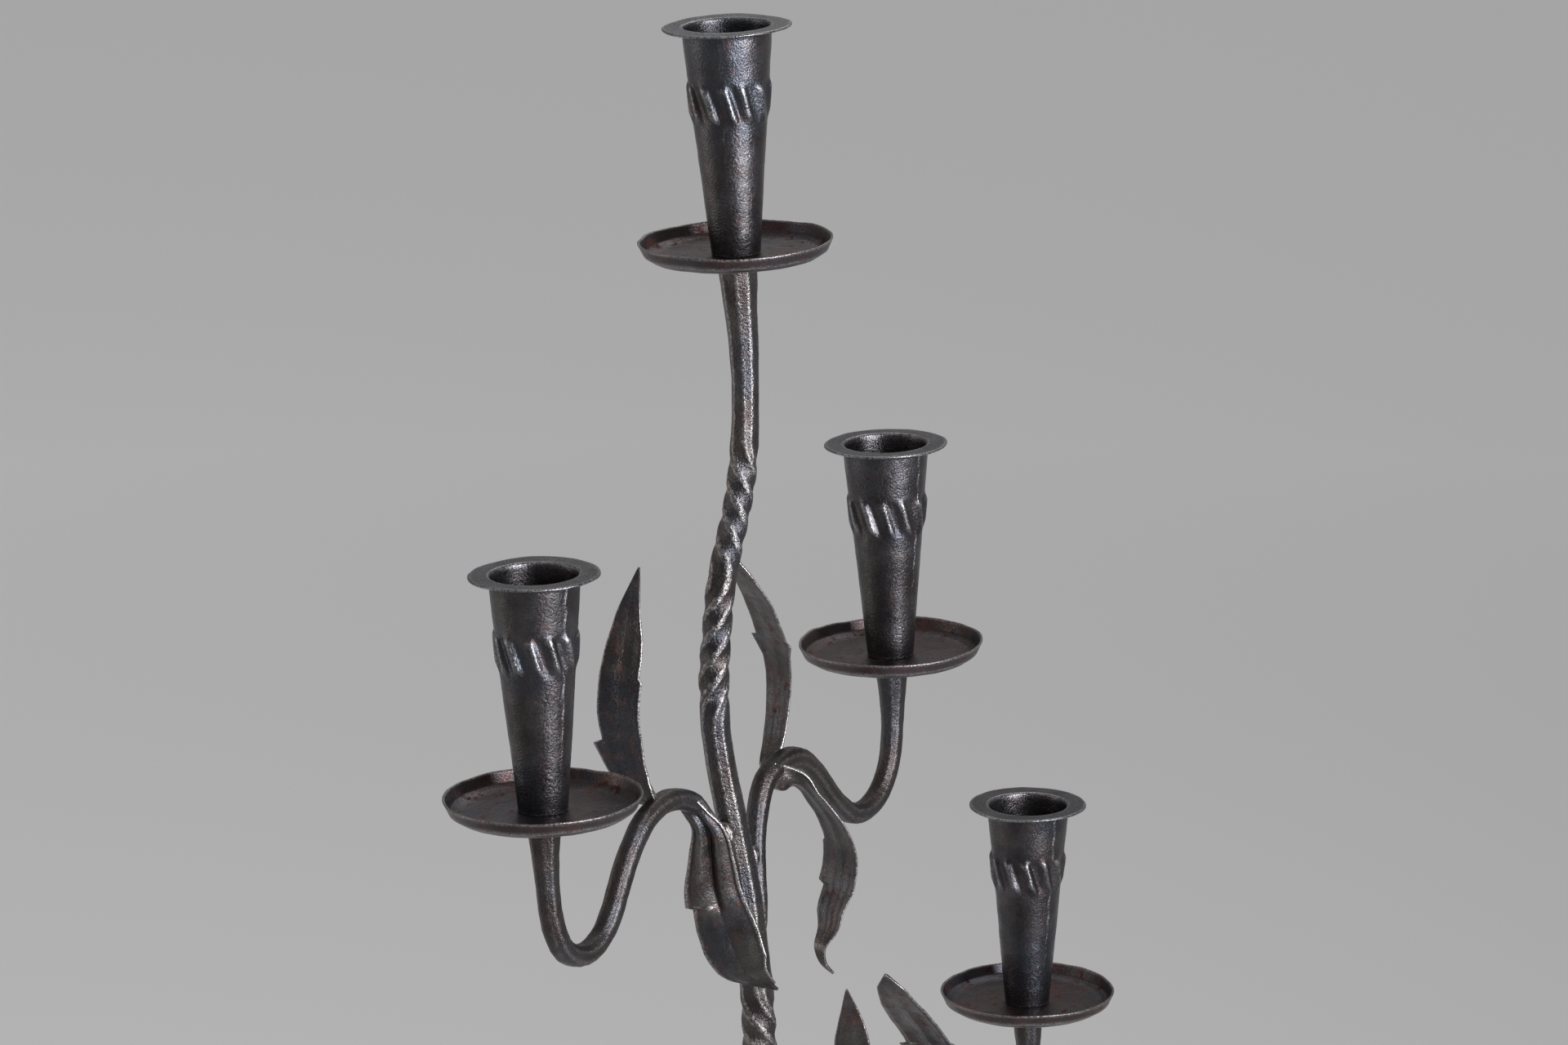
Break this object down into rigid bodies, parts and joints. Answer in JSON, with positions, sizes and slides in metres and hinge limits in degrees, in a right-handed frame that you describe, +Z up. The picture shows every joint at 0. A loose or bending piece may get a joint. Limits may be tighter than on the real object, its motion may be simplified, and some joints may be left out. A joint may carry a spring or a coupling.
{
  "type": "five-light wrought-iron candle stand",
  "caption": "Forged-iron floor stand with a bent, twisted bar, scrolled arms, cut sheet leaves, and tapered candle cups on round drip pans.",
  "frame": {"origin": "on the floor under the middle of the three feet, where the straight foot of the stem would meet it", "axes": "+Z up along the stem, +X along the plane of the arms to the right light, -Y to the front leg"},
  "size_m": [0.718, 0.3749, 1.2502],
  "materials": {
    "forged_bar": "forge-black hammered bar, burnished on its edges, waxed",
    "cup_sheet": "satin black sheet with grain and faint rust",
    "pan_sheet": "satin black sheet, reddish brown inside the pan",
    "leaf_sheet": "satin black sheet with burnished ridges",
    "weld_metal": "rough weld bead, ground in places"
  },
  "bodies": {
    "root": {"arm_lower_left": "forged_bar", "arm_lower_right": "forged_bar", "arm_upper_left": "forged_bar", "arm_upper_right": "forged_bar", "cup_disc_lower_left": "cup_sheet", "cup_disc_lower_right": "cup_sheet", "cup_disc_top": "cup_sheet", "cup_disc_upper_left": "cup_sheet", "cup_disc_upper_right": "cup_sheet", "cup_lower_left": "cup_sheet", "cup_lower_right": "cup_sheet", "cup_top": "cup_sheet", "cup_upper_left": "cup_sheet", "cup_upper_right": "cup_sheet", "leaf_lower_left_falling": "leaf_sheet", "leaf_lower_left_inner": "leaf_sheet", "leaf_lower_left_outer": "leaf_sheet", "leaf_lower_right_falling": "leaf_sheet", "leaf_lower_right_inner": "leaf_sheet", "leaf_lower_right_outer": "leaf_sheet", "leaf_upper_left_falling": "leaf_sheet", "leaf_upper_left_rising": "leaf_sheet", "leaf_upper_right_falling": "leaf_sheet", "leaf_upper_right_rising": "leaf_sheet", "leg_back_left": "forged_bar", "leg_back_right": "forged_bar", "leg_front": "forged_bar", "pan_lower_left": "pan_sheet", "pan_lower_right": "pan_sheet", "pan_top": "pan_sheet", "pan_upper_left": "pan_sheet", "pan_upper_right": "pan_sheet", "stem": "forged_bar", "weld_base": "weld_metal", "weld_lower_left": "weld_metal", "weld_lower_right": "weld_metal", "weld_upper_left": "weld_metal", "weld_upper_right": "weld_metal"}
  },
  "joints": []
}
